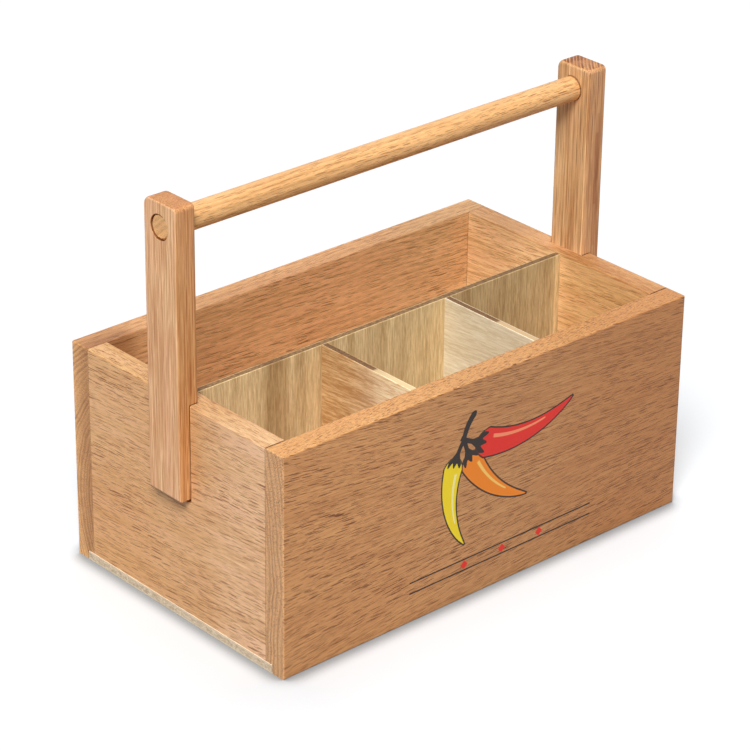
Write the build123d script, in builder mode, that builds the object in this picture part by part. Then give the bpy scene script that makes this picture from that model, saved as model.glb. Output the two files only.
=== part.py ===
from build123d import *
import os

# A wooden table caddy for bottles: an open box of four solid boards on a plywood
# base, split by plywood dividers into three front bays and one long rear bay, with
# two posts let into the end boards and a round handle between them.
# Millimetres. X runs along the box, the front faces -Y, the underside is at Z = 0,
# and the origin is the middle of the underside.

os.makedirs("parts", exist_ok=True)

# Box, outside sizes
box_length = 250.0
box_width = 150.0
box_height = 112.0
board_thickness = 12.0       # front and back boards
end_thickness = 11.5         # end boards, held between the front and back boards
board_arris = 0.8            # eased edges of the boards

# Base sheet, let up into a rabbet in the front and back boards, under the end boards
base_thickness = 4.5
base_rabbet = 4.5            # rabbet width, from the inner faces of the boards
base_front_gap = 0.4         # slack in the front rabbet
base_back_gap = 0.9          # slack in the back rabbet
base_overhang = 0.3          # how far the base stands out past the end boards
base_arris = 0.2

# Dividers, standing on the base
divider_thickness = 3.6
divider_drop = 0.5           # divider tops below the rim
divider_fit = 0.1            # slack where a divider meets a board
divider_arris = 0.2
front_bay_depth = 60.5       # inside depth of the front bays
cross_divider_names = ("left_cross_divider", "right_cross_divider")

# Handle posts, let into open-topped housings in the outer faces of the end boards
post_width = 22.0
post_thickness = 11.5
post_let_in = 5.5            # housing depth
post_below_rim = 47.0        # how far a post reaches down from the rim
post_above_dowel = 12.0      # post top above the dowel's axis
post_back_round = 4.5        # rounded back corner of the post top
post_front_round = 2.5       # rounded front corner of the post top
post_outer_arris = 1.0       # eased edges of a post's outer face
post_inner_arris = 1.8       # eased edges of the face towards the other post
housing_side_gap = 0.5       # slack on the front side of a post
housing_end_gap = 2.5        # empty end of the housing under a post

# Handle dowel, through both posts
dowel_diameter = 12.0
hand_gap = 78.0              # rim to the underside of the dowel
dowel_fit = 0.2              # round the dowel, in its bores
dowel_recess = 0.4           # dowel ends inside the outer faces of the posts
dowel_arris = 0.9            # chamfer round the dowel's ends

# Hidden pins, two at each corner, from the end board into the front or back board
pin_diameter = 6.0
pin_length = 24.0
pin_in_board = 8.0           # share of a pin inside the front or back board
pin_fit = 0.1                # round a pin, in its bores
pin_end_gap = 0.5            # empty end of a pin's bore
pin_inset = 26.0             # pins in from the underside and from the rim
pin_arris = 0.6

# Brads, flat wire with a square head, driven up through the base into all four boards
brad_width = 1.2
brad_wire = 1.0              # thickness of the wire
brad_length = 15.0
brad_head_width = 2.2
brad_head_height = 0.8
brad_tip = 1.5
brad_tip_angle = 14.0
brad_fit = 0.05
brads_per_side = 3
brad_margin = 35.0           # outermost brads in from the ends of a front or back board
end_brad_margin = 30.0       # outermost brads in from the outside of the box, at the ends

# Places worked out from the sizes above
front_inner_y = -box_width / 2 + board_thickness
back_inner_y = box_width / 2 - board_thickness
inside_length = box_length - 2 * end_thickness
inside_width = back_inner_y - front_inner_y
left_face_x = -box_length / 2
housing_floor = box_height - post_below_rim - housing_end_gap
dowel_height = box_height + hand_gap + dowel_diameter / 2
post_height = post_below_rim + hand_gap + dowel_diameter / 2 + post_above_dowel
post_outer_x = left_face_x + post_let_in - post_thickness
divider_height = box_height - divider_drop - base_thickness
long_divider_y = front_inner_y + front_bay_depth + divider_thickness / 2
cross_divider_count = len(cross_divider_names)
bay_length = (inside_length - cross_divider_count * divider_thickness) / (cross_divider_count + 1)
pin_heights = (pin_inset, box_height - pin_inset)
end_board_x = left_face_x + end_thickness / 2
rabbet_y = front_inner_y - base_rabbet / 2


def spaced(reach, count):
    """Evenly spaced places from -reach to +reach."""
    return [reach * (2 * index / (count - 1) - 1) for index in range(count)]


brad_places = {
    "front": [(x, rabbet_y) for x in spaced(box_length / 2 - brad_margin, brads_per_side)],
    "back": [(x, -rabbet_y) for x in spaced(box_length / 2 - brad_margin, brads_per_side)],
    "left": [(end_board_x, y) for y in spaced(box_width / 2 - end_brad_margin, brads_per_side)],
    "right": [(-end_board_x, y) for y in spaced(box_width / 2 - end_brad_margin, brads_per_side)],
}


def pin_bores(plane, centres, depth):
    """Blind holes for pins in the part being built, from a plane, along its normal or against it."""
    with BuildSketch(plane) as holes:
        with Locations(*centres):
            Circle(pin_diameter / 2 + pin_fit)
    extrude(holes.sketch, amount=depth, mode=Mode.SUBTRACT)


def brad_bores(places, height, width, wire, depth):
    """Upright holes for brads in the part being built, from a height upwards."""
    with BuildSketch(Plane.XY.offset(height)) as holes:
        with Locations(*places):
            Rectangle(width + 2 * brad_fit, wire + 2 * brad_fit)
    extrude(holes.sketch, amount=depth + brad_fit, mode=Mode.SUBTRACT)


def board_brad_bores(places):
    brad_bores(places, base_thickness, brad_width, brad_wire, brad_length - base_thickness)


def save(piece, name):
    piece.label = name
    export_step(piece, f"parts/{name}.step")


# Front board: full length, rabbeted along its lower inner edge, bored for the pins of
# both end boards and for the brads that hold the base. The back board mirrors it.
with BuildPart() as front_panel:
    with BuildSketch(Plane.YZ.offset(left_face_x)):
        with Locations((-box_width / 2, 0)):
            Rectangle(board_thickness, box_height, align=(Align.MIN, Align.MIN))
        with Locations((front_inner_y, 0)):
            Rectangle(base_rabbet, base_thickness, align=(Align.MAX, Align.MIN), mode=Mode.SUBTRACT)
    extrude(amount=box_length)
    outer_edges = front_panel.faces().sort_by(Axis.Y)[0].edges()
    rim_edges = front_panel.faces().sort_by(Axis.Z)[-1].edges()
    fillet(outer_edges + rim_edges.sort_by(Axis.Y)[1:], board_arris)
    pin_centres = [(x, z) for x in (end_board_x, -end_board_x) for z in pin_heights]
    pin_bores(Plane.XZ.offset(-front_inner_y), pin_centres, pin_in_board + pin_end_gap)
    board_brad_bores(brad_places["front"])
save(front_panel.part, "front_panel")

with BuildPart() as back_panel:
    mirror(front_panel.part, about=Plane.XZ)
save(back_panel.part, "back_panel")

# Left end board: stands on the base between the front and back boards, flush with
# their ends. The post's housing is cut from its outer face and leaves a web inside.
with BuildPart() as left_end_panel:
    with BuildSketch(Plane.YZ.offset(left_face_x)):
        with Locations((0, base_thickness)):
            Rectangle(inside_width, box_height - base_thickness, align=(Align.CENTER, Align.MIN))
    extrude(amount=end_thickness)
    fillet(left_end_panel.edges().filter_by(Axis.Y).group_by(Axis.Z)[-1], board_arris)
    with BuildSketch(Plane.YZ.offset(left_face_x)):
        with Locations((post_width / 2, housing_floor)):
            Rectangle(
                post_width + housing_side_gap,
                box_height - housing_floor,
                align=(Align.MAX, Align.MIN),
            )
    extrude(amount=post_let_in, mode=Mode.SUBTRACT)
    end_bore_centres = [(end_board_x, z) for z in pin_heights]
    end_bore_depth = pin_length - pin_in_board + pin_end_gap
    pin_bores(Plane.XZ.offset(-front_inner_y), end_bore_centres, -end_bore_depth)
    pin_bores(Plane.XZ.offset(-back_inner_y), end_bore_centres, end_bore_depth)
    board_brad_bores(brad_places["left"])
save(left_end_panel.part, "left_end_panel")

with BuildPart() as right_end_panel:
    mirror(left_end_panel.part, about=Plane.YZ)
save(right_end_panel.part, "right_end_panel")

# Base sheet: from end to end of the box, its long edges in the two rabbets.
with BuildPart() as base_panel:
    with BuildSketch(Plane.XY):
        with Locations((0, front_inner_y - base_rabbet + base_front_gap)):
            Rectangle(
                box_length + 2 * base_overhang,
                inside_width + 2 * base_rabbet - base_front_gap - base_back_gap,
                align=(Align.CENTER, Align.MIN),
            )
    extrude(amount=base_thickness)
    fillet(base_panel.edges().filter_by(Axis.Y), base_arris)
    for places in brad_places.values():
        brad_bores(places, 0, brad_head_width, brad_head_width, brad_head_height)
        brad_bores(places, 0, brad_width, brad_wire, base_thickness)
save(base_panel.part, "base_panel")

# Long divider: between the end boards, behind the front bays.
with BuildPart() as long_divider:
    with BuildSketch(Plane.XY.offset(base_thickness)):
        with Locations((0, long_divider_y)):
            Rectangle(inside_length - 2 * divider_fit, divider_thickness)
    extrude(amount=divider_height)
    fillet(long_divider.edges().filter_by(Axis.X).group_by(Axis.Z)[-1], divider_arris)
save(long_divider.part, "long_divider")

# Cross dividers: from the front board to the long divider, making equal bays.
for index, name in enumerate(cross_divider_names):
    cross_divider_x = (
        -inside_length / 2 + (index + 1) * bay_length + (index + 0.5) * divider_thickness
    )
    with BuildPart() as cross_divider:
        with BuildSketch(Plane.XY.offset(base_thickness)):
            with Locations((cross_divider_x, front_inner_y + divider_fit)):
                Rectangle(
                    divider_thickness,
                    front_bay_depth - 2 * divider_fit,
                    align=(Align.CENTER, Align.MIN),
                )
        extrude(amount=divider_height)
        fillet(cross_divider.edges().filter_by(Axis.Y).group_by(Axis.Z)[-1], divider_arris)
    save(cross_divider.part, name)

# Left handle post: seated in its housing, its top corners rounded, bored for the dowel.
with BuildPart() as left_handle_post:
    with BuildSketch(Plane.YZ.offset(post_outer_x)) as post_outline:
        with Locations((0, box_height - post_below_rim)):
            Rectangle(post_width, post_height, align=(Align.CENTER, Align.MIN))
        fillet(post_outline.vertices().group_by(Axis.Y)[-1].sort_by(Axis.X)[0], post_front_round)
        fillet(post_outline.vertices().group_by(Axis.Y)[-1].sort_by(Axis.X)[-1], post_back_round)
    extrude(amount=post_thickness)
    outer_rim = left_handle_post.faces().sort_by(Axis.X)[0].edges()
    inner_rim = left_handle_post.faces().sort_by(Axis.X)[-1].edges()
    fillet(outer_rim, post_outer_arris)
    fillet(inner_rim, post_inner_arris)
    with BuildSketch(Plane.YZ.offset(post_outer_x)):
        with Locations((0, dowel_height)):
            Circle(dowel_diameter / 2 + dowel_fit)
    extrude(amount=post_thickness, mode=Mode.SUBTRACT)
save(left_handle_post.part, "left_handle_post")

with BuildPart() as right_handle_post:
    mirror(left_handle_post.part, about=Plane.YZ)
save(right_handle_post.part, "right_handle_post")

# Handle dowel: through both posts, its ends a little inside their outer faces.
with BuildPart() as handle_dowel:
    with BuildSketch(Plane.YZ.offset(post_outer_x + dowel_recess)):
        with Locations((0, dowel_height)):
            Circle(dowel_diameter / 2)
    extrude(amount=-2 * (post_outer_x + dowel_recess))
    chamfer(handle_dowel.edges().filter_by(GeomType.CIRCLE), dowel_arris)
save(handle_dowel.part, "handle_dowel")

# Corner pins: two in each corner joint, glued into the end board and the long board.
for board, side in (("front", 1), ("back", -1)):
    pin_start = front_inner_y - pin_in_board
    for end, x in (("left", end_board_x), ("right", -end_board_x)):
        with BuildPart() as corner_pins:
            with BuildSketch(Plane.XZ.offset(-side * pin_start)):
                with Locations(*[(x, z) for z in pin_heights]):
                    Circle(pin_diameter / 2)
            extrude(amount=-side * pin_length)
            chamfer(corner_pins.edges().filter_by(GeomType.CIRCLE), pin_arris)
        save(corner_pins.part, f"{board}_{end}_corner_pins")

# Base brads: one row to each board, their heads flush with the underside.
for side, places in brad_places.items():
    with BuildPart() as base_brads:
        with BuildSketch(Plane.XY):
            with Locations(*places):
                Rectangle(brad_head_width, brad_head_width)
        extrude(amount=brad_head_height)
        with BuildSketch(Plane.XY):
            with Locations(*places):
                Rectangle(brad_width, brad_wire)
        extrude(amount=brad_length - brad_tip)
        with BuildSketch(Plane.XY.offset(brad_length - brad_tip)):
            with Locations(*places):
                Rectangle(brad_width, brad_wire)
        extrude(amount=brad_tip, taper=brad_tip_angle)
    save(base_brads.part, f"{side}_base_brads")
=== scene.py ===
import math

import bpy
from mathutils import Matrix

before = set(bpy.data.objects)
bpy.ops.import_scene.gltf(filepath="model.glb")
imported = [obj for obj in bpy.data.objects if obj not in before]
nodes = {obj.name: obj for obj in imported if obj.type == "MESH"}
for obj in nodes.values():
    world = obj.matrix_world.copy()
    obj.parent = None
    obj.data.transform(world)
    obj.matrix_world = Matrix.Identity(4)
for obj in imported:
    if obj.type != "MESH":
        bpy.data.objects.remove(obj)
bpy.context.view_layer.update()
print("frame loaded")

floatKind = "NodeSocketFloat"
colorKind = "NodeSocketColor"
vectorKind = "NodeSocketVector"
white = (1.0, 1.0, 1.0, 1.0)
black = (0.0, 0.0, 0.0, 1.0)
millimetresInMetre = 1000.0


# Node helpers. A value may be a number, a tuple or another node's output.

def setInput(tree, socket, value):
    if isinstance(value, bpy.types.NodeSocket):
        tree.links.new(value, socket)
    else:
        socket.default_value = value


def mathOf(tree, operation, first, second=0.0, third=0.0):
    node = tree.nodes.new("ShaderNodeMath")
    node.operation = operation
    for socket, value in zip(node.inputs, (first, second, third)):
        setInput(tree, socket, value)
    return node.outputs[0]


def both(tree, first, second):
    return mathOf(tree, "MULTIPLY", first, second)


def vectorOf(tree, operation, first, second=(0.0, 0.0, 0.0)):
    node = tree.nodes.new("ShaderNodeVectorMath")
    node.operation = operation
    setInput(tree, node.inputs[0], first)
    setInput(tree, node.inputs[1], second)
    return node.outputs["Value" if operation == "LENGTH" else "Vector"]


def rangeOf(tree, value, low, high, toLow=0.0, toHigh=1.0):
    node = tree.nodes.new("ShaderNodeMapRange")
    node.interpolation_type = "SMOOTHSTEP"
    for name, given in (("Value", value), ("From Min", low), ("From Max", high),
                        ("To Min", toLow), ("To Max", toHigh)):
        setInput(tree, node.inputs[name], given)
    return node.outputs["Result"]


# 1 where a value is under the limit and 0 where it is over it, with a soft edge.
def under(tree, value, limit, edge):
    return rangeOf(tree, value, limit + edge, limit - edge)


def noiseOf(tree, vector, detail=2.0, roughness=0.5):
    node = tree.nodes.new("ShaderNodeTexNoise")
    setInput(tree, node.inputs["Vector"], vector)
    setInput(tree, node.inputs["Scale"], 1.0)
    setInput(tree, node.inputs["Detail"], detail)
    setInput(tree, node.inputs["Roughness"], roughness)
    return node.outputs["Fac"]


# How far each point is from the nearest of many scattered ones, and a chance for each.
def cellsOf(tree, vector):
    node = tree.nodes.new("ShaderNodeTexVoronoi")
    setInput(tree, node.inputs["Vector"], vector)
    setInput(tree, node.inputs["Scale"], 1.0)
    return node.outputs["Distance"], parted(tree, node.outputs["Color"])[0]


def mixOf(tree, share, first, second, blend="MIX"):
    node = tree.nodes.new("ShaderNodeMix")
    node.data_type = "RGBA"
    node.blend_type = blend
    setInput(tree, node.inputs["Factor"], share)
    setInput(tree, node.inputs[6], first)
    setInput(tree, node.inputs[7], second)
    return node.outputs[2]


def joined(tree, x, y, z):
    node = tree.nodes.new("ShaderNodeCombineXYZ")
    for socket, value in zip(node.inputs, (x, y, z)):
        setInput(tree, socket, value)
    return node.outputs[0]


def parted(tree, vector):
    node = tree.nodes.new("ShaderNodeSeparateXYZ")
    setInput(tree, node.inputs[0], vector)
    return node.outputs


# A place with each of its three directions divided by a size of its own.
def scaledAt(tree, place, sizes):
    return joined(tree, *(mathOf(tree, "DIVIDE", part, size)
                          for part, size in zip(place, sizes)))


# The same with slow change through the board's thickness, from a seed of its own.
def driftAt(tree, place, length, width, depthPace, seed):
    along, across, depth = place
    return joined(tree, mathOf(tree, "DIVIDE", along, length),
                  mathOf(tree, "DIVIDE", across, width),
                  mathOf(tree, "MULTIPLY_ADD", depth, depthPace, seed))


def newGroup(name, inputs, outputs):
    tree = bpy.data.node_groups.new(name, "ShaderNodeTree")
    for label, kind, value in inputs:
        socket = tree.interface.new_socket(name=label, in_out="INPUT", socket_type=kind)
        socket.default_value = value
    for label, kind in outputs:
        tree.interface.new_socket(name=label, in_out="OUTPUT", socket_type=kind)
    given = tree.nodes.new("NodeGroupInput").outputs
    result = tree.nodes.new("NodeGroupOutput").inputs
    return tree, given, result


# A colour as it is seen on a screen, 0 to 255, as the shader wants it.
def paint(red, green, blue):
    linear = [((v / 255 + 0.055) / 1.055) ** 2.4 if v > 10 else v / 255 / 12.92
              for v in (red, green, blue)]
    return (*linear, 1.0)


# What all the oak shares. Sizes are in millimetres. A range is the two values between
# which a soft step goes from 0 to 1, or else to the two values that follow them.
oakGrain = {
    "waveSizes": (55.0, 22.0, 22.0),
    "unevenPace": 0.43,
    "unevenStrength": 1.4,
    "weightLength": 60.0,
    "weightSeed": 7.0,
    "weightPace": 0.71,
    "weightRange": (0.32, 0.62, 0.25, 1.0),
    "earlyStart": (0.0, 0.2),
    "earlyEnd": (0.85, 0.3),
    "patchSizes": (60.0, 9.0, 9.0),
    "patchRange": (0.32, 0.68),
    "fibreRange": (0.3, 0.7),
    "fibreRoughness": 0.75,
    "fibreHeight": 0.35,
    "endRange": (0.5, 0.2),
    "leastDark": 0.08,
    "blushDrift": (110.0, 7.0, 0.14, 31.0),
    "blushRange": (0.42, 0.62),
    "blushRoughness": 0.6,
    "poreSway": 0.35,
    "largePores": {"size": 1.0, "slide": 6.1},
    "smallPores": {"size": 0.6, "slide": -8.3},
    "poreChance": (0.0, 1.0, 0.3, 1.7),
    "poreCore": 0.8,
    "smallPoreShare": 0.7,
    "faintDrift": (70.0, 16.0, 0.06, 57.0),
    "faintRange": (0.35, 0.65, 0.65, 1.0),
}


# Solid oak. The vector is in millimetres with X along the grain, so one effect gives
# short dashes on the faces and rings with pores on the end grain.
def makeOakGroup(grain):
    tree, given, result = newGroup(
        "solidOak",
        [
            ("Vector", vectorKind, (0, 0, 0)),
            ("Light", colorKind, paint(235, 190, 140)),
            ("Dark", colorKind, paint(200, 145, 100)),
            ("Blush", colorKind, paint(225, 170, 130)),
            ("Blush Share", floatKind, 0.3),
            ("Pore", colorKind, paint(130, 80, 50)),
            ("Pith", vectorKind, (0, 0, 0)),
            ("Ring Width", floatKind, 3.0),
            ("Ring Strength", floatKind, 0.4),
            ("Ring Wobble", floatKind, 2.0),
            ("Patch Strength", floatKind, 0.2),
            ("Fibre Length", floatKind, 18.0),
            ("Fibre Width", floatKind, 0.42),
            ("Fibre Strength", floatKind, 0.75),
            ("Pore Length", floatKind, 9.5),
            ("Pore Width", floatKind, 0.5),
            ("Pore Share", floatKind, 0.26),
            ("Pore Rows", floatKind, 0.03),
            ("Pore Strength", floatKind, 1.0),
            ("Slope", floatKind, 0.0),
            ("Fan", floatKind, 0.0),
            ("Middle", floatKind, 0.0),
            ("Half Length", floatKind, 1000.0),
            ("End Rings", floatKind, 0.15),
        ],
        [("Color", colorKind), ("Height", floatKind)],
    )
    along, straight, depth = parted(tree, given["Vector"])
    # The grain leans, by more on one side of the board than on the other.
    lean = mathOf(tree, "MULTIPLY_ADD", straight, given["Fan"], given["Slope"])
    across = mathOf(tree, "MULTIPLY_ADD", along, lean, straight)
    place = (along, across, depth)
    # Slow waves bend the rings.
    wave = noiseOf(tree, scaledAt(tree, place, grain["waveSizes"]))
    wave = mathOf(tree, "MULTIPLY", mathOf(tree, "SUBTRACT", wave, 0.5), given["Ring Wobble"])
    _, pithY, pithZ = parted(tree, given["Pith"])
    reach = vectorOf(tree, "LENGTH", joined(
        tree, 0.0, mathOf(tree, "SUBTRACT", across, pithY),
        mathOf(tree, "SUBTRACT", depth, pithZ)))
    # The rings are of uneven width, and some of them are faint.
    ringAt = mathOf(tree, "DIVIDE", mathOf(tree, "ADD", reach, wave), given["Ring Width"])
    unevenAt = mathOf(tree, "MULTIPLY", ringAt, grain["unevenPace"])
    uneven = noiseOf(tree, joined(tree, 0.0, 0.0, unevenAt), detail=1.0)
    ringAt = mathOf(tree, "MULTIPLY_ADD", uneven, grain["unevenStrength"], ringAt)
    weightAt = joined(tree, mathOf(tree, "DIVIDE", along, grain["weightLength"]),
                      grain["weightSeed"], mathOf(tree, "MULTIPLY", ringAt, grain["weightPace"]))
    weight = rangeOf(tree, noiseOf(tree, weightAt, detail=1.0), *grain["weightRange"])
    ring = mathOf(tree, "FRACT", ringAt)
    early = both(tree, rangeOf(tree, ring, *grain["earlyStart"]),
                 rangeOf(tree, ring, *grain["earlyEnd"]))
    early = both(tree, early, weight)
    # Broad patches and fine fibres darken the wood, and so do the rings.
    patch = noiseOf(tree, scaledAt(tree, place, grain["patchSizes"]), detail=1.0)
    patch = rangeOf(tree, patch, *grain["patchRange"])
    fibreSizes = (given["Fibre Length"], given["Fibre Width"], given["Fibre Width"])
    fibre = noiseOf(tree, scaledAt(tree, place, fibreSizes), 3.0, grain["fibreRoughness"])
    fibre = rangeOf(tree, fibre, *grain["fibreRange"])
    darkness = mathOf(tree, "ADD", mathOf(tree, "MULTIPLY", patch, given["Patch Strength"]),
                      mathOf(tree, "MULTIPLY", fibre, given["Fibre Strength"]))
    darkness = mathOf(tree, "MULTIPLY_ADD", early, given["Ring Strength"], darkness)
    darkness = mathOf(tree, "MAXIMUM", mathOf(
        tree, "SUBTRACT", darkness, grain["leastDark"]), 0.0)
    wood = mixOf(tree, darkness, given["Light"], given["Dark"])
    # The end grain shows the rings in the colour of the pores.
    fromEnd = mathOf(tree, "SUBTRACT", given["Half Length"], mathOf(
        tree, "ABSOLUTE", mathOf(tree, "SUBTRACT", along, given["Middle"])))
    atEnd = both(tree, rangeOf(tree, fromEnd, *grain["endRange"]), early)
    atEnd = mathOf(tree, "MULTIPLY", atEnd, given["End Rings"])
    wood = mixOf(tree, atEnd, wood, given["Pore"])
    # Long patches are of another tint.
    blush = noiseOf(tree, driftAt(tree, place, *grain["blushDrift"]), 3.0,
                    grain["blushRoughness"])
    blush = rangeOf(tree, blush, *grain["blushRange"])
    wood = mixOf(tree, mathOf(tree, "MULTIPLY", blush, given["Blush Share"]), wood,
                 given["Blush"])
    # Open pores: short dark dashes of uneven size, more of them where the early wood is.
    swayed = mathOf(tree, "MULTIPLY_ADD", wave, grain["poreSway"], across)
    poreReach = mathOf(tree, "MULTIPLY_ADD", early, given["Pore Rows"], given["Pore Share"])
    poreMasks = []
    for pores in (grain["largePores"], grain["smallPores"]):
        length = mathOf(tree, "MULTIPLY", given["Pore Length"], pores["size"])
        width = mathOf(tree, "MULTIPLY", given["Pore Width"], pores["size"])
        # Each row of pores starts further along, so that they don't line up.
        slid = mathOf(tree, "MULTIPLY_ADD", mathOf(tree, "ADD", swayed, depth),
                      pores["slide"], along)
        cellAt = scaledAt(tree, (slid, swayed, depth), (length, width, width))
        away, chance = cellsOf(tree, cellAt)
        edge = both(tree, poreReach, rangeOf(tree, chance, *grain["poreChance"]))
        core = mathOf(tree, "MULTIPLY", edge, grain["poreCore"])
        poreMasks.append(rangeOf(tree, away, edge, core))
    pore = mathOf(tree, "MAXIMUM", poreMasks[0], mathOf(
        tree, "MULTIPLY", poreMasks[1], grain["smallPoreShare"]))
    # The pores are fainter in some places.
    faint = noiseOf(tree, driftAt(tree, place, *grain["faintDrift"]), detail=1.0)
    pore = both(tree, pore, rangeOf(tree, faint, *grain["faintRange"]))
    poreShare = mathOf(tree, "MULTIPLY", pore, given["Pore Strength"])
    tree.links.new(mixOf(tree, poreShare, wood, given["Pore"]), result["Color"])
    tree.links.new(mathOf(tree, "SUBTRACT", 1.0, mathOf(
        tree, "MULTIPLY_ADD", fibre, grain["fibreHeight"], pore)), result["Height"])
    return tree


# What all the plywood shares, in the same terms
plyGrain = {
    "bandLength": 160.0,
    "bandRange": (0.3, 0.7),
    "bandRoughness": 0.55,
    "bandStrength": 0.45,
    "streakDepth": 3.0,
    "streakRange": (0.3, 0.7),
    "streakRoughness": 0.75,
    "speckSizes": (1.3, 1.8, 0.9),
    "speckRange": (0.35, 0.65),
    "speckRoughness": 0.75,
    "unfadedStreaks": (1.5, 0.0),
    "coreFadeRange": (0.5, 0.6),
    "layerEdge": 0.1,
}


# Plywood. The vector is in millimetres with X along the face grain and Z through the
# sheet, so its faces show the veneer and its edges show the layers.
def makePlyGroup(grain):
    tree, given, result = newGroup(
        "plySheet",
        [
            ("Vector", vectorKind, (0, 0, 0)),
            ("Light", colorKind, paint(222, 200, 160)),
            ("Dark", colorKind, paint(180, 150, 105)),
            ("Core", colorKind, paint(120, 90, 60)),
            ("Core Light", colorKind, paint(170, 135, 95)),
            ("Thickness", floatKind, 3.6),
            ("Veneer", floatKind, 0.35),
            ("Band Width", floatKind, 16.0),
            ("Streak Length", floatKind, 9.0),
            ("Streak Width", floatKind, 0.5),
            ("Streak Strength", floatKind, 0.6),
            ("Slope", floatKind, 0.0),
            ("Fade Start", floatKind, 1000.0),
            ("Fade End", floatKind, 1001.0),
            ("Fade Color", colorKind, paint(230, 205, 170)),
            ("Fade Core", colorKind, paint(198, 168, 128)),
            ("Fade Share", floatKind, 0.0),
        ],
        [("Color", colorKind), ("Height", floatKind)],
    )
    along, straight, depth = parted(tree, given["Vector"])
    across = mathOf(tree, "MULTIPLY_ADD", along, given["Slope"], straight)
    # The veneer has broad bands and fine streaks.
    bandAt = joined(tree, mathOf(tree, "DIVIDE", along, grain["bandLength"]),
                    mathOf(tree, "DIVIDE", across, given["Band Width"]), 0.0)
    band = noiseOf(tree, bandAt, roughness=grain["bandRoughness"])
    band = rangeOf(tree, band, *grain["bandRange"])
    streakSizes = (given["Streak Length"], given["Streak Width"], grain["streakDepth"])
    streak = noiseOf(tree, scaledAt(tree, (along, across, depth), streakSizes), 3.0,
                     grain["streakRoughness"])
    streak = rangeOf(tree, streak, *grain["streakRange"])
    darkness = mathOf(tree, "ADD", mathOf(tree, "MULTIPLY", band, grain["bandStrength"]),
                      mathOf(tree, "MULTIPLY", streak, given["Streak Strength"]))
    face = mixOf(tree, darkness, given["Light"], given["Dark"])
    # The core is speckled.
    speck = noiseOf(tree, scaledAt(tree, (along, straight, depth), grain["speckSizes"]), 3.0,
                    grain["speckRoughness"])
    speck = rangeOf(tree, speck, *grain["speckRange"])
    core = mixOf(tree, speck, given["Core"], given["Core Light"])
    # Towards one end the face pales, and past the middle of that stretch so does the core.
    faded = rangeOf(tree, along, given["Fade Start"], given["Fade End"])
    paled = both(tree, mathOf(tree, "MULTIPLY", faded, given["Fade Share"]),
                 rangeOf(tree, streak, *grain["unfadedStreaks"]))
    face = mixOf(tree, paled, face, given["Fade Color"])
    core = mixOf(tree, rangeOf(tree, faded, *grain["coreFadeRange"]), core, given["Fade Core"])
    away = mathOf(tree, "ABSOLUTE", depth)
    layer = mathOf(tree, "SUBTRACT", mathOf(tree, "DIVIDE", given["Thickness"], 2.0),
                   given["Veneer"])
    outside = rangeOf(tree, away, mathOf(tree, "SUBTRACT", layer, grain["layerEdge"]),
                      mathOf(tree, "ADD", layer, grain["layerEdge"]))
    tree.links.new(mixOf(tree, outside, core, face), result["Color"])
    tree.links.new(mathOf(tree, "SUBTRACT", 1.0, streak), result["Height"])
    return tree


# A box of space, in millimetres, in which a piece is lighter or darker.
def makeShadeGroup():
    tree, given, result = newGroup(
        "shadeBox",
        [
            ("Vector", vectorKind, (0, 0, 0)),
            ("Color", colorKind, white),
            ("Centre", vectorKind, (0, 0, 0)),
            ("Half", vectorKind, (1, 1, 1)),
            ("Edge", floatKind, 0.3),
            ("Gain", colorKind, white),
        ],
        [("Color", colorKind)],
    )
    away = vectorOf(tree, "SUBTRACT", given["Vector"], given["Centre"])
    away = vectorOf(tree, "ABSOLUTE", away)
    inside = 1.0
    for beyond in parted(tree, vectorOf(tree, "SUBTRACT", away, given["Half"])):
        inside = both(tree, rangeOf(tree, beyond, given["Edge"], 0.0), inside)
    shaded = mixOf(tree, 1.0, given["Color"], given["Gain"], "MULTIPLY")
    tree.links.new(mixOf(tree, inside, given["Color"], shaded), result["Color"])
    return tree


# What all the peppers share. Edges are in millimetres, places along a pepper are shares
# of its length, and places across it are shares of its half width.
pepperShape = {
    "edge": 0.15,
    "endEdge": 0.001,
    "headGrowth": 9.0,
    "headPower": 0.5,
    "leastHalf": 0.01,
    "shineAcross": ((-0.62, -0.56), (-0.28, -0.34)),
    "shineAlong": ((0.16, 0.18), (0.72, 0.70)),
    "lobePace": 9.4,
    "lobeDepth": 0.025,
    "capLength": 0.085,
    "stemFlare": (-0.05, 0.02, 1.0, 2.2),
    "stemOverlap": 0.03,
}


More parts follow.
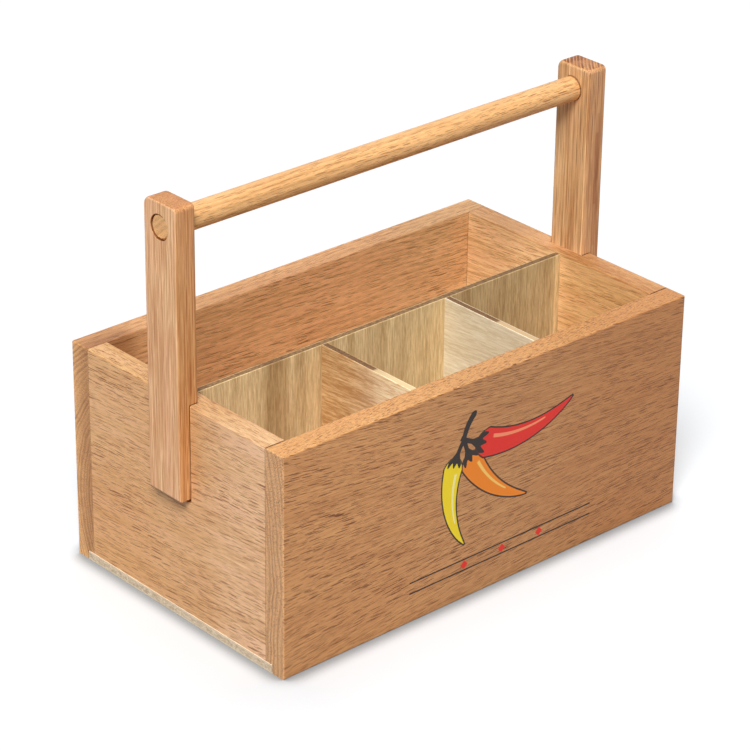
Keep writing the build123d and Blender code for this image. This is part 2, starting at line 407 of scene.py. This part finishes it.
# A pepper on a stem, both on one arc, in millimetres on a face whose sides are X and Z.
# Turns are in radians, counted from the left of the arc's centre, anticlockwise.
def makePepperGroup(shape):
    tree, given, result = newGroup(
        "pepperShape",
        [
            ("Vector", vectorKind, (0, 0, 0)),
            ("Centre", vectorKind, (0, 0, 0)),
            ("Radius", floatKind, 50.0),
            ("Start", floatKind, 0.0),
            ("Sweep", floatKind, 1.5),
            ("Width", floatKind, 6.0),
            ("Taper", floatKind, 0.75),
            ("Stem", floatKind, 0.12),
            ("Stem Width", floatKind, 1.2),
            ("Outline Width", floatKind, 0.8),
        ],
        [("Fill", floatKind), ("Outline", floatKind), ("Shine", floatKind), ("Cap", floatKind)],
    )
    x, _, z = parted(tree, vectorOf(tree, "SUBTRACT", given["Vector"], given["Centre"]))
    reach = vectorOf(tree, "LENGTH", joined(tree, x, 0.0, z))
    turn = mathOf(tree, "ARCTAN2", mathOf(tree, "MULTIPLY", z, -1.0),
                  mathOf(tree, "MULTIPLY", x, -1.0))
    run = mathOf(tree, "DIVIDE", mathOf(tree, "SUBTRACT", turn, given["Start"]), given["Sweep"])
    onRun = both(tree, rangeOf(tree, run, -shape["endEdge"], shape["endEdge"]),
                 under(tree, run, 1.0, shape["endEdge"]))
    kept = mathOf(tree, "MINIMUM", mathOf(tree, "MAXIMUM", run, 0.0), 1.0)
    head = mathOf(tree, "POWER", mathOf(tree, "MULTIPLY", kept, shape["headGrowth"]),
                  shape["headPower"])
    head = mathOf(tree, "MINIMUM", head, 1.0)
    tail = mathOf(tree, "POWER", mathOf(tree, "SUBTRACT", 1.0, kept), given["Taper"])
    half = mathOf(tree, "MULTIPLY", mathOf(tree, "MULTIPLY", head, tail), given["Width"])
    side = mathOf(tree, "SUBTRACT", reach, given["Radius"])
    fromSide = mathOf(tree, "ABSOLUTE", side)
    away = mathOf(tree, "SUBTRACT", fromSide, half)
    fill = both(tree, under(tree, away, 0.0, shape["edge"]), onRun)
    # The outline is the same shape, grown on all sides.
    margin = mathOf(tree, "DIVIDE", given["Outline Width"], given["Radius"])
    margin = mathOf(tree, "DIVIDE", margin, given["Sweep"])
    awayFromOutline = mathOf(tree, "SUBTRACT", away, given["Outline Width"])
    grownRun = both(tree, mathOf(tree, "GREATER_THAN", mathOf(tree, "ADD", run, margin), 0.0),
                    mathOf(tree, "LESS_THAN", mathOf(tree, "SUBTRACT", run, margin), 1.0))
    grown = both(tree, under(tree, awayFromOutline, 0.0, shape["edge"]), grownRun)
    across = mathOf(tree, "DIVIDE", side, mathOf(tree, "MAXIMUM", half, shape["leastHalf"]))
    shineAcross, shineAlong = (
        both(tree, rangeOf(tree, value, *start), rangeOf(tree, value, *end))
        for value, (start, end) in ((across, shape["shineAcross"]), (run, shape["shineAlong"])))
    shine = both(tree, shineAcross, shineAlong)
    # The cap has lobes, and the stem widens into it.
    lobe = mathOf(tree, "COSINE", mathOf(tree, "MULTIPLY", across, shape["lobePace"]))
    lobe = mathOf(tree, "MULTIPLY_ADD", lobe, shape["lobeDepth"], shape["capLength"])
    cap = both(tree, fill, mathOf(tree, "LESS_THAN", run, lobe))
    stemHalf = mathOf(tree, "MULTIPLY", given["Stem Width"],
                      rangeOf(tree, run, *shape["stemFlare"]))
    awayFromStem = mathOf(tree, "SUBTRACT", fromSide, stemHalf)
    stemRun = both(
        tree, mathOf(tree, "GREATER_THAN", mathOf(tree, "ADD", run, given["Stem"]), 0.0),
        mathOf(tree, "LESS_THAN", run, shape["stemOverlap"]))
    stem = both(tree, under(tree, awayFromStem, 0.0, shape["edge"]), stemRun)
    outline = mathOf(tree, "MAXIMUM", mathOf(tree, "MAXIMUM", grown, fill), stem)
    tree.links.new(fill, result["Fill"])
    tree.links.new(outline, result["Outline"])
    tree.links.new(shine, result["Shine"])
    tree.links.new(mathOf(tree, "MAXIMUM", cap, stem), result["Cap"])
    return tree


oakGroup = makeOakGroup(oakGrain)
plyGroup = makePlyGroup(plyGrain)
shadeGroup = makeShadeGroup()
pepperGroup = makePepperGroup(pepperShape)
print("node groups made")


def startMaterial(name):
    material = bpy.data.materials.new(name)
    material.use_nodes = True
    tree = material.node_tree
    return material, tree, tree.nodes["Principled BSDF"]


# Object coordinates in millimetres, turned so that X runs along the grain.
def placed(tree, turn=(0.0, 0.0, 0.0), shift=(0.0, 0.0, 0.0)):
    source = tree.nodes.new("ShaderNodeTexCoord").outputs["Object"]
    mapping = tree.nodes.new("ShaderNodeMapping")
    mapping.inputs["Scale"].default_value = (millimetresInMetre,) * 3
    mapping.inputs["Rotation"].default_value = [math.radians(v) for v in turn]
    mapping.inputs["Location"].default_value = shift
    tree.links.new(source, mapping.inputs["Vector"])
    return mapping.outputs["Vector"]


def useGroup(tree, group, vector, values):
    node = tree.nodes.new("ShaderNodeGroup")
    node.node_tree = group
    tree.links.new(vector, node.inputs["Vector"])
    for name, value in values.items():
        node.inputs[name].default_value = value
    return node


def addBump(tree, shader, height, look):
    bump = tree.nodes.new("ShaderNodeBump")
    bump.inputs["Strength"].default_value = look["bump"]
    bump.inputs["Distance"].default_value = look["bumpDistance"]
    tree.links.new(height, bump.inputs["Height"])
    tree.links.new(bump.outputs["Normal"], shader.inputs["Normal"])


# Each shade in a look is a box's centre, half size, soft edge and gain.
def groupMaterial(group, look):
    material, tree, shader = startMaterial(look["name"])
    node = useGroup(tree, group, placed(tree, look["turn"], look["shift"]), look["values"])
    color = node.outputs["Color"]
    place = placed(tree)
    for centre, half, edge, gain in look["shades"].values():
        shade = useGroup(tree, shadeGroup, place, {
            "Centre": centre, "Half": half, "Edge": edge, "Gain": (*gain, 1.0)})
        tree.links.new(color, shade.inputs["Color"])
        color = shade.outputs["Color"]
    tree.links.new(color, shader.inputs["Base Color"])
    shader.inputs["Roughness"].default_value = look["roughness"]
    shader.inputs["Specular IOR Level"].default_value = look["gloss"]
    addBump(tree, shader, node.outputs["Height"], look)
    return material


def plainMaterial(look):
    material, _, shader = startMaterial(look["name"])
    shader.inputs["Base Color"].default_value = look["color"]
    shader.inputs["Roughness"].default_value = look["roughness"]
    shader.inputs["Metallic"].default_value = look["metallic"]
    return material


def dress(name, material):
    piece = nodes[name]
    piece.data.materials.clear()
    piece.data.materials.append(material)


# Finishes, and turns by which X runs along the grain of a piece
oakFinish = {"roughness": 0.5, "gloss": 0.35, "bump": 0.25, "bumpDistance": 0.0001}
plyFinish = {"roughness": 0.6, "gloss": 0.25, "bump": 0.15, "bumpDistance": 0.0001}
lengthwise = (-90.0, 0.0, 0.0)
crosswise = (0.0, -90.0, -90.0)
upright = (0.0, 90.0, 0.0)
uprightSheet = (90.0, 0.0, 90.0)
flat = (0.0, 0.0, 0.0)

# Places that the shades share, in millimetres from the middle of the underside
endX = 125.0
endMiddleX = 119.0
endInnerX = 113.5
sideY = 75.0
sideMiddleY = 69.0
sideInnerY = 63.0
rimZ = 112.0
middleZ = 56.0
postOuterX = 131.0
postMiddleX = 125.25
postInnerX = 119.5
postFrontY = 11.0
postMiddleZ = 136.0
postTopZ = 208.0
handleZ = 196.0
crossX = 38.43

# Front board: grain along the length, short dark pores, browner towards the right
frontLook = {
    **oakFinish,
    "name": "frontOak",
    "turn": lengthwise,
    "shift": (40.0, 0.0, 0.0),
    "values": {
        "Light": paint(215, 159, 105),
        "Dark": paint(165, 106, 62),
        "Blush": paint(204, 142, 92),
        "Pore": paint(106, 59, 30),
        "Pore Rows": 0.0,
        "Pith": (0.0, 40.0, -150.0),
        "Ring Width": 2.4,
        "Ring Strength": 0.12,
        "Ring Wobble": 7.0,
        "Patch Strength": 0.1,
        "Slope": -0.12,
        "Fan": 0.0022,
        "Middle": 40.0,
        "Half Length": endX,
        "End Rings": 0.45,
    },
    "shades": {
        "rim": ((0.0, -sideMiddleY, rimZ), (126.0, 7.0, 0.25), 0.2, (1.02, 1.08, 1.02)),
        "leftEndGrain": ((-endX, -sideMiddleY, middleZ), (0.25, 9.0, 60.0), 0.25,
                         (1.17, 1.37, 1.69)),
        "rightEndGrain": ((endX, -sideMiddleY, middleZ), (0.25, 9.0, 60.0), 0.25,
                          (1.13, 1.33, 1.66)),
        "leftPart": ((-endX, -sideY, middleZ), (45.0, 3.0, 60.0), 90.0, (1.14, 1.14, 1.12)),
        "rightPart": ((endX, -sideY, middleZ), (30.0, 3.0, 60.0), 90.0, (0.9, 0.82, 0.74)),
    },
}
frontMaterial = groupMaterial(oakGroup, frontLook)

# A printed bunch of peppers over a double rule with diamonds, only on the outer face
printRed = paint(232, 48, 40)
printLook = {
    "black": paint(14, 11, 11),
    "peppers": (
        {"centre": (19.7, 0.0, 57.6), "radius": 46.0, "start": -24.0, "sweep": 62.0, "width": 6.2,
         "color": paint(252, 222, 40), "shine": paint(255, 246, 170)},
        {"centre": (40.0, 0.0, 99.5), "radius": 60.0, "start": 23.0, "sweep": 50.0, "width": 7.0,
         "color": paint(246, 138, 36), "shine": paint(255, 205, 110)},
        {"centre": (17.0, 0.0, 144.6), "radius": 70.0, "start": 67.0, "sweep": 52.0, "width": 7.8,
         "color": printRed, "shine": paint(255, 150, 110)},
    ),
    "stem": 0.17,
    "stalk": {"centre": (1.7, 0.0, 80.5), "radius": 20.0, "start": -52.0, "sweep": 44.0,
              "width": 1.7},
    "stalkTaper": 0.1,
    "middle": 8.0,
    "ruleReach": 58.0,
    "ruleHalf": 0.375,
    "ruleEdge": 0.125,
    "ruleHeights": (15.2, 20.8),
    "endEdge": 0.1,
    "diamondHeight": 18.0,
    "diamondGap": 24.0,
    "diamondReach": 1.5,
    "diamondHalf": 2.3,
    "diamondEdge": 0.15,
    "faceRange": (-74.9, -74.95),
    "opacity": 0.98,
}


def usePepper(tree, place, pepper, more):
    return useGroup(tree, pepperGroup, place, {
        "Centre": pepper["centre"], "Radius": pepper["radius"],
        "Start": math.radians(pepper["start"]), "Sweep": math.radians(pepper["sweep"]),
        "Width": pepper["width"], **more}).outputs


def addPrint(material, look):
    tree = material.node_tree
    shader = tree.nodes["Principled BSDF"]
    wood = shader.inputs["Base Color"].links[0].from_socket
    place = placed(tree)
    x, y, z = parted(tree, place)
    stalk = usePepper(tree, place, look["stalk"], {"Taper": look["stalkTaper"]})
    ink = mixOf(tree, stalk["Fill"], wood, look["black"])
    for pepper in look["peppers"]:
        mask = usePepper(tree, place, pepper, {"Stem": look["stem"]})
        ink = mixOf(tree, mask["Outline"], ink, look["black"])
        ink = mixOf(tree, mask["Fill"], ink, pepper["color"])
        ink = mixOf(tree, mask["Shine"], ink, pepper["shine"])
        ink = mixOf(tree, mask["Cap"], ink, look["black"])
    # Two thin rules, with three diamonds between them.
    fromMiddle = mathOf(tree, "SUBTRACT", x, look["middle"])
    toSide = mathOf(tree, "ABSOLUTE", fromMiddle)
    onRule = under(tree, toSide, look["ruleReach"], look["endEdge"])
    for height in look["ruleHeights"]:
        away = mathOf(tree, "ABSOLUTE", mathOf(tree, "SUBTRACT", z, height))
        rule = both(tree, under(tree, away, look["ruleHalf"], look["ruleEdge"]), onRule)
        ink = mixOf(tree, rule, ink, look["black"])
    gap = look["diamondGap"]
    folded = mathOf(tree, "ABSOLUTE", mathOf(tree, "WRAP", fromMiddle, gap / 2, -gap / 2))
    away = mathOf(tree, "ADD", folded, mathOf(
        tree, "ABSOLUTE", mathOf(tree, "SUBTRACT", z, look["diamondHeight"])))
    onRow = under(tree, toSide, gap * look["diamondReach"], look["endEdge"])
    diamond = both(tree, under(tree, away, look["diamondHalf"], look["diamondEdge"]), onRow)
    ink = mixOf(tree, diamond, ink, printRed)
    onFace = rangeOf(tree, y, *look["faceRange"])
    opacity = mathOf(tree, "MULTIPLY", onFace, look["opacity"])
    tree.links.new(mixOf(tree, opacity, wood, ink), shader.inputs["Base Color"])


addPrint(frontMaterial, printLook)
dress("front_panel", frontMaterial)

# Back board: slanting rings on its end grain, painted light on its inner face, a painted shadow in
# its left corner
backLook = {
    **oakFinish,
    "name": "backOak",
    "turn": lengthwise,
    "shift": (-310.0, 0.0, 0.0),
    "values": {
        "Light": paint(239, 186, 134),
        "Dark": paint(192, 135, 86),
        "Blush": paint(222, 164, 118),
        "Blush Share": 0.35,
        "Pore": paint(128, 76, 41),
        "Pith": (0.0, 22.0, 0.0),
        "Ring Width": 2.2,
        "Ring Strength": 0.35,
        "Ring Wobble": 4.0,
        "Slope": 0.03,
        "Middle": -310.0,
        "Half Length": endX,
        "Pore Strength": 0.85,
        "End Rings": 0.36,
    },
    "shades": {
        # Painted light on the inner face
        "paintedLightInnerFace": ((0.0, sideInnerY, middleZ), (126.0, 0.25, 55.2), 0.2, (1.28, 1.33, 1.33)),
        "leftEndGrain": ((-endX, sideMiddleY, middleZ), (0.25, 7.0, 60.0), 0.2,
                         (1.34, 1.39, 1.29)),
        # Painted shadow of the left end board and post in the inner left corner
        "paintedShadowLeftCorner": ((-113.0, sideInnerY, 60.0), (8.0, 0.3, 50.0), 16.0, (0.5, 0.42, 0.36)),
        "rim": ((0.0, sideMiddleY, rimZ), (126.0, 7.0, 0.25), 0.2, (0.9, 0.87, 0.83)),
        "innerRightPart": ((113.0, sideInnerY, 60.0), (20.0, 0.3, 50.0), 60.0,
                           (0.93, 1.02, 1.06)),
    },
}
dress("back_panel", groupMaterial(oakGroup, backLook))


# The dark joint lines at both sides of an end board
def jointShades(x):
    return {side: ((x, y, middleZ), (12.0, 0.1, 60.0), 0.35, (0.42, 0.36, 0.32))
            for side, y in (("frontJoint", -sideInnerY), ("backJoint", sideInnerY))}


# Left end board: grain across the end, pinkish patches, a dark line at each joint
leftEndLook = {
    **oakFinish,
    "name": "leftEndOak",
    "turn": crosswise,
    "shift": (700.0, 0.0, 0.0),
    "values": {
        "Light": paint(243, 195, 141),
        "Dark": paint(201, 141, 86),
        "Blush": paint(238, 186, 139),
        "Blush Share": 0.6,
        "Pore": paint(142, 84, 44),
        "Pith": (0.0, -120.0, -270.0),
        "Ring Width": 1.9,
        "Ring Strength": 0.22,
        "Ring Wobble": 8.0,
        "Slope": 0.05,
        "Fibre Width": 0.5,
    },
    "shades": {
        "rim": ((-endMiddleX, 0.0, rimZ), (6.5, 64.0, 0.25), 0.2, (0.8, 0.8, 0.73)),
        "frontPart": ((-endX, -sideInnerY, middleZ), (13.0, 16.0, 60.0), 34.0,
                      (1.11, 1.2, 1.42)),
        "lowBackPart": ((-endX, 60.0, 12.0), (3.0, 20.0, 16.0), 50.0, (0.97, 0.91, 0.82)),
        **jointShades(-endMiddleX),
    },
}
dress("left_end_panel", groupMaterial(oakGroup, leftEndLook))

# Right end board: more orange than the left one, with painted light on its inner face
rightEndLook = {
    **oakFinish,
    "name": "rightEndOak",
    "turn": crosswise,
    "shift": (-900.0, 0.0, 0.0),
    "values": {
        "Light": paint(223, 174, 123),
        "Dark": paint(182, 125, 76),
        "Blush": paint(214, 158, 112),
        "Blush Share": 0.4,
        "Pore": paint(138, 80, 34),
        "Pith": (0.0, -120.0, -40.0),
        "Ring Width": 2.4,
        "Ring Strength": 0.35,
        "Ring Wobble": 8.0,
        "Slope": 0.06,
        "Pore Strength": 0.75,
    },
    "shades": {
        # Painted light on the inner face, with less of it towards the front
        "paintedLightInnerFace": ((endInnerX, 0.0, middleZ), (0.25, 64.0, 55.2), 0.2, (1.62, 2.02, 2.33)),
        "innerFrontLessPaintedLight": ((endInnerX, -sideInnerY, middleZ), (0.3, 50.0, 55.2), 20.0,
                           (0.85, 0.75, 0.62)),
        "rim": ((endMiddleX, 0.0, rimZ), (6.5, 64.0, 0.25), 0.2, (0.98, 1.0, 0.99)),
        **jointShades(endMiddleX),
    },
}
dress("right_end_panel", groupMaterial(oakGroup, rightEndLook))

# What both posts share: long fine fibres and pores
postGrain = {
    "Blush Share": 0.35,
    "Fibre Length": 40.0,
    "Fibre Width": 0.62,
    "Pore Length": 24.0,
    "Pore Width": 0.45,
    "Half Length": 71.5,
}


# Painted shade in the gap of a post's housing and in its bore. The side is -1 left, 1 right.
def paintedHollowShade(side):
    return {
        "paintedShadeHousingGap": ((side * 122.3, -postFrontY, 88.0), (2.6, 0.3, 24.0), 0.2,
                       (0.3, 0.25, 0.22)),
        "paintedShadeBore": ((side * 127.0, 0.0, handleZ), (3.8, 6.4, 6.4), 0.1, (0.4, 0.32, 0.26)),
    }


# Left post: upright grain in fine pinkish streaks, fine slanting lines on its top, painted light
# on its outer face
leftPostLook = {
    **oakFinish,
    "name": "leftPostOak",
    "turn": upright,
    "shift": (0.0, 0.0, 0.0),
    "values": {
        **postGrain,
        "Light": paint(239, 183, 124),
        "Dark": paint(190, 127, 74),
        "Blush": paint(229, 165, 116),
        "Pore": paint(170, 98, 50),
        "Pith": (0.0, 61.0, -12.0),
        "Ring Width": 1.5,
        "Ring Strength": 0.25,
        "Ring Wobble": 1.5,
        "Pore Strength": 0.9,
        "Fibre Strength": 1.05,
        "Middle": 136.5,
        "End Rings": 0.14,
    },
    "shades": {
        # Painted light on the outer face
        "paintedLightOuterFace": ((-postOuterX, 0.0, postMiddleZ), (0.25, 12.0, 80.0), 0.25,
                      (1.2, 1.39, 1.8)),
        "top": ((-postMiddleX, 0.0, postTopZ), (7.0, 12.0, 0.3), 0.3, (0.81, 0.77, 0.72)),
        # Painted shade in the housing gap and in the bore
        **paintedHollowShade(-1),
    },
}
dress("left_handle_post", groupMaterial(oakGroup, leftPostLook))

# Right post: strong dark rings on its top, two darker streaks on its front face, painted light on
# its inner face
rightPostLook = {
    **oakFinish,
    "name": "rightPostOak",
    "turn": upright,
    "shift": (300.0, 0.0, 0.0),
    "values": {
        **postGrain,
        "Light": paint(235, 183, 131),
        "Dark": paint(177, 117, 69),
        "Blush": paint(228, 170, 122),
        "Pore": paint(129, 75, 43),
        "Pith": (0.0, -134.0, -273.0),
        "Ring Width": 1.6,
        "Ring Strength": 0.3,
        "Ring Wobble": 0.6,
        "Patch Strength": 0.4,
        "Pore Strength": 0.8,
        "Middle": 436.5,
        "End Rings": 2.0,
    },
    "shades": {
        # Painted light on the inner face
        "paintedLightInnerFace": ((postInnerX, 0.0, postMiddleZ), (0.25, 12.0, 80.0), 0.25,
                      (1.19, 1.37, 1.45)),
        "top": ((postMiddleX, 0.0, postTopZ), (7.0, 12.0, 0.3), 0.3, (0.85, 0.78, 0.67)),
        # Painted shade in the housing gap and in the bore
        **paintedHollowShade(1),
        "longStreak": ((127.0, -postFrontY, 150.0), (0.3, 0.3, 34.0), 1.2, (0.84, 0.78, 0.76)),
        "shortStreak": ((126.6, -postFrontY, 156.0), (0.3, 0.3, 18.0), 1.2, (0.8, 0.7, 0.66)),
    },
}
dress("right_handle_post", groupMaterial(oakGroup, rightPostLook))

# Handle dowel: yellower, with fine dashes, painted light below, painted shade on top, and a
# painted shade line where it enters each post
dowelLook = {
    **oakFinish,
    "name": "dowelOak",
    "turn": lengthwise,
    "shift": (2000.0, 0.0, 0.0),
    "roughness": 0.45,
    "gloss": 0.4,
    "values": {
        "Light": paint(250, 197, 134),
        "Dark": paint(205, 145, 83),
        "Blush": paint(239, 182, 124),
        "Pore": paint(148, 94, 50),
        "Pith": (0.0, 150.0, 30.0),
        "Ring Width": 2.6,
        "Ring Strength": 0.3,
        "Ring Wobble": 4.0,
        "Fibre Strength": 0.6,
        "Fibre Width": 0.45,
        "Pore Length": 8.0,
        "Pore Width": 0.45,
        "Pore Strength": 0.9,
    },
    "shades": {
        # Painted light on the underside and painted shade on the top
        "underside": ((0.0, 0.0, 188.0), (130.0, 9.0, 0.5), 8.0, (1.3, 1.18, 1.05)),
        "top": ((0.0, 0.0, 204.0), (118.0, 9.0, 0.5), 6.0, (0.93, 0.94, 0.97)),
        # Painted shade in a dark line where the dowel enters each post
        "paintedShadeLeftEntry": ((-119.1, 0.0, handleZ), (0.3, 8.0, 8.0), 0.25, (0.4, 0.33, 0.28)),
        "paintedShadeRightEntry": ((119.1, 0.0, handleZ), (0.3, 8.0, 8.0), 0.25, (0.4, 0.33, 0.28)),
    },
}
dress("handle_dowel", groupMaterial(oakGroup, dowelLook))

# Long divider: upright khaki veneer in bands, on a dark core
longDividerLook = {
    **plyFinish,
    "name": "longDividerPly",
    "turn": uprightSheet,
    "shift": (0.0, 0.0, 0.7),
    "values": {
        "Light": paint(248, 221, 168),
        "Dark": paint(183, 149, 101),
        "Core": paint(104, 72, 44),
        "Core Light": paint(150, 118, 78),
        "Veneer": 0.4,
        "Band Width": 9.0,
        "Streak Strength": 0.72,
    },
    "shades": {
        "leftPart": ((-94.0, -1.0, middleZ), (14.0, 5.0, 60.0), 8.0, (1.12, 1.13, 1.14)),
        "darkBand": ((-67.0, -1.0, middleZ), (4.0, 5.0, 60.0), 5.0, (0.78, 0.72, 0.66)),
        "rightPart": ((76.0, -1.0, middleZ), (37.0, 5.0, 60.0), 3.0, (0.8, 0.79, 0.77)),
        "rightEdge": ((112.0, -1.0, middleZ), (1.5, 5.0, 60.0), 0.6, (1.25, 1.25, 1.25)),
    },
}
dress("long_divider", groupMaterial(plyGroup, longDividerLook))

# What both cross dividers share: wide streaks on a dark core, paler towards the front
crossVeneer = {
    "Core": paint(88, 58, 34),
    "Core Light": paint(136, 100, 64),
    "Veneer": 0.4,
    "Streak Width": 0.8,
    "Fade Start": -18.0,
    "Fade End": -54.0,
}

# Left cross divider: orange streaks at the back, paling forwards
leftCrossLook = {
    **plyFinish,
    "name": "leftCrossPly",
    "turn": crosswise,
    "shift": (0.0, 0.0, crossX),
    "values": {
        **crossVeneer,
        "Light": paint(244, 208, 155),
        "Dark": paint(192, 141, 87),
        "Band Width": 6.0,
        "Streak Strength": 0.95,
        "Slope": 0.06,
        "Fade Color": paint(246, 218, 188),
        "Fade Share": 0.8,
    },
    "shades": {
        "topBack": ((-crossX, -4.0, 104.0), (3.0, 3.0, 6.0), 14.0, (0.91, 0.92, 0.91)),
        "frontPart": ((-crossX, -60.0, middleZ), (3.0, 8.0, 60.0), 22.0, (1.28, 1.44, 1.44)),
    },
}
dress("left_cross_divider", groupMaterial(plyGroup, leftCrossLook))

# Right cross divider: smooth pale cream veneer
rightCrossLook = {
    **plyFinish,
    "name": "rightCrossPly",
    "turn": crosswise,
    "shift": (0.0, 0.0, -crossX),
    "bump": 0.1,
    "values": {
        **crossVeneer,
        "Light": paint(253, 244, 216),
        "Dark": paint(219, 200, 163),
        "Band Width": 14.0,
        "Streak Strength": 0.75,
        "Slope": 0.05,
        "Fade Color": paint(240, 222, 192),
        "Fade Share": 0.3,
    },
    "shades": {},
}
dress("right_cross_divider", groupMaterial(plyGroup, rightCrossLook))

# Base sheet: pale plywood with pale edges
baseLook = {
    **plyFinish,
    "name": "basePly",
    "turn": flat,
    "shift": (0.0, 0.0, -2.25),
    "roughness": 0.65,
    "values": {
        "Light": paint(240, 223, 197),
        "Dark": paint(216, 193, 162),
        "Core": paint(196, 172, 142),
        "Core Light": paint(240, 220, 192),
        "Thickness": 4.5,
        "Veneer": 0.9,
        "Band Width": 20.0,
        "Streak Strength": 0.5,
    },
    "shades": {},
}
dress("base_panel", groupMaterial(plyGroup, baseLook))

# Hidden corner pins
pinLook = {"name": "pinBeech", "color": paint(222, 190, 150), "roughness": 0.6, "metallic": 0.0}
pinMaterial = plainMaterial(pinLook)
for board in ("front", "back"):
    for end in ("left", "right"):
        dress(f"{board}_{end}_corner_pins", pinMaterial)

# Hidden brads under the base
bradLook = {"name": "bradSteel", "color": paint(168, 170, 172), "roughness": 0.35, "metallic": 1.0}
bradMaterial = plainMaterial(bradLook)
for side in ("front", "back", "left", "right"):
    dress(f"{side}_base_brads", bradMaterial)
print("materials made")


# The turn of a camera or lamp, in degrees, that looks down by the elevation.
def aimed(azimuth, elevation):
    return (Matrix.Rotation(math.radians(azimuth), 4, "Z")
            @ Matrix.Rotation(math.radians(90.0 - elevation), 4, "X"))


# Camera, at the viewing angle of the photograph
cameraLook = {
    "lens": 152.95,
    "sensor": 36.0,
    "farthest": 100.0,
    "place": (-0.89957, -0.99082, 0.75836),
    "azimuth": -42.078,
    "elevation": 26.818,
    "roll": 0.707,
}
cameraData = bpy.data.cameras.new("camera")
cameraData.lens = cameraLook["lens"]
cameraData.sensor_width = cameraLook["sensor"]
cameraData.clip_end = cameraLook["farthest"]
camera = bpy.data.objects.new("camera", cameraData)
camera.matrix_world = (
    Matrix.Translation(cameraLook["place"])
    @ (aimed(cameraLook["azimuth"], cameraLook["elevation"])
       @ Matrix.Rotation(math.radians(cameraLook["roll"]), 4, "Z")))
bpy.context.scene.collection.objects.link(camera)
bpy.context.scene.camera = camera


# The rays by which a white surround shows: the camera's, and those in metal and glass.
def seenRays(tree):
    path = tree.nodes.new("ShaderNodeLightPath").outputs
    return mathOf(tree, "MAXIMUM", path["Is Camera Ray"], mathOf(
        tree, "MAXIMUM", path["Is Glossy Ray"], path["Is Transmission Ray"]))


# Floor: white to the eye, and it keeps the shadow, with a dark line where the box stands
floorLook = {
    "size": 12.0,
    "color": (0.25, 0.25, 0.25, 1.0),
    "seenColor": (0.6, 0.615, 0.63, 1.0),
    "glow": 0.22,
    "contactReach": 0.011,
    "contactShade": 0.42,
    "contactRange": (0.5, 1.0),
}
floorMesh = bpy.data.meshes.new("floor")
floorHalf = floorLook["size"] / 2
floorMesh.from_pydata(
    [(-floorHalf, -floorHalf, 0), (floorHalf, -floorHalf, 0),
     (floorHalf, floorHalf, 0), (-floorHalf, floorHalf, 0)],
    [], [(0, 1, 2, 3)])
floorPiece = bpy.data.objects.new("floor", floorMesh)
bpy.context.scene.collection.objects.link(floorPiece)
floorMaterial, floorTree, floorShader = startMaterial("floorPaint")
floorShader.inputs["Roughness"].default_value = 1.0
floorShader.inputs["Specular IOR Level"].default_value = 0.0
floorSeen = seenRays(floorTree)
contact = floorTree.nodes.new("ShaderNodeAmbientOcclusion")
contact.inputs["Distance"].default_value = floorLook["contactReach"]
contactShade = rangeOf(floorTree, contact.outputs["AO"], *floorLook["contactRange"],
                       floorLook["contactShade"], 1.0)
shadedFloor = mixOf(floorTree, contactShade, black, floorLook["seenColor"])
floorTree.links.new(mixOf(floorTree, floorSeen, floorLook["color"], shadedFloor),
                    floorShader.inputs["Base Color"])
floorShader.inputs["Emission Color"].default_value = white
floorGlow = mathOf(floorTree, "MULTIPLY", contactShade, floorLook["glow"])
floorTree.links.new(mathOf(floorTree, "MULTIPLY", floorSeen, floorGlow),
                    floorShader.inputs["Emission Strength"])
floorMesh.materials.append(floorMaterial)

# World: even light from all round, white to the eye
worldLook = {"light": 0.15, "seenLight": 1.0}
world = bpy.data.worlds.new("studio")
world.use_nodes = True
worldTree = world.node_tree
background = worldTree.nodes["Background"]
background.inputs["Color"].default_value = white
worldTree.links.new(rangeOf(worldTree, seenRays(worldTree), 0.0, 1.0,
                            worldLook["light"], worldLook["seenLight"]),
                    background.inputs["Strength"])
bpy.context.scene.world = world

# A soft key lamp from the upper left, and a weaker one from high up behind
lampLooks = {
    "keyLamp": {"azimuth": -48.0, "elevation": 50.0, "strength": 3.7, "angle": 25.0},
    "topLamp": {"azimuth": 135.0, "elevation": 75.0, "strength": 0.9, "angle": 30.0},
}
for name, look in lampLooks.items():
    lampData = bpy.data.lights.new(name, "SUN")
    lampData.energy = look["strength"]
    lampData.angle = math.radians(look["angle"])
    lamp = bpy.data.objects.new(name, lampData)
    lamp.matrix_world = aimed(look["azimuth"], look["elevation"])
    bpy.context.scene.collection.objects.link(lamp)
bpy.context.scene.view_settings.view_transform = "Standard"
print("camera and stage made")
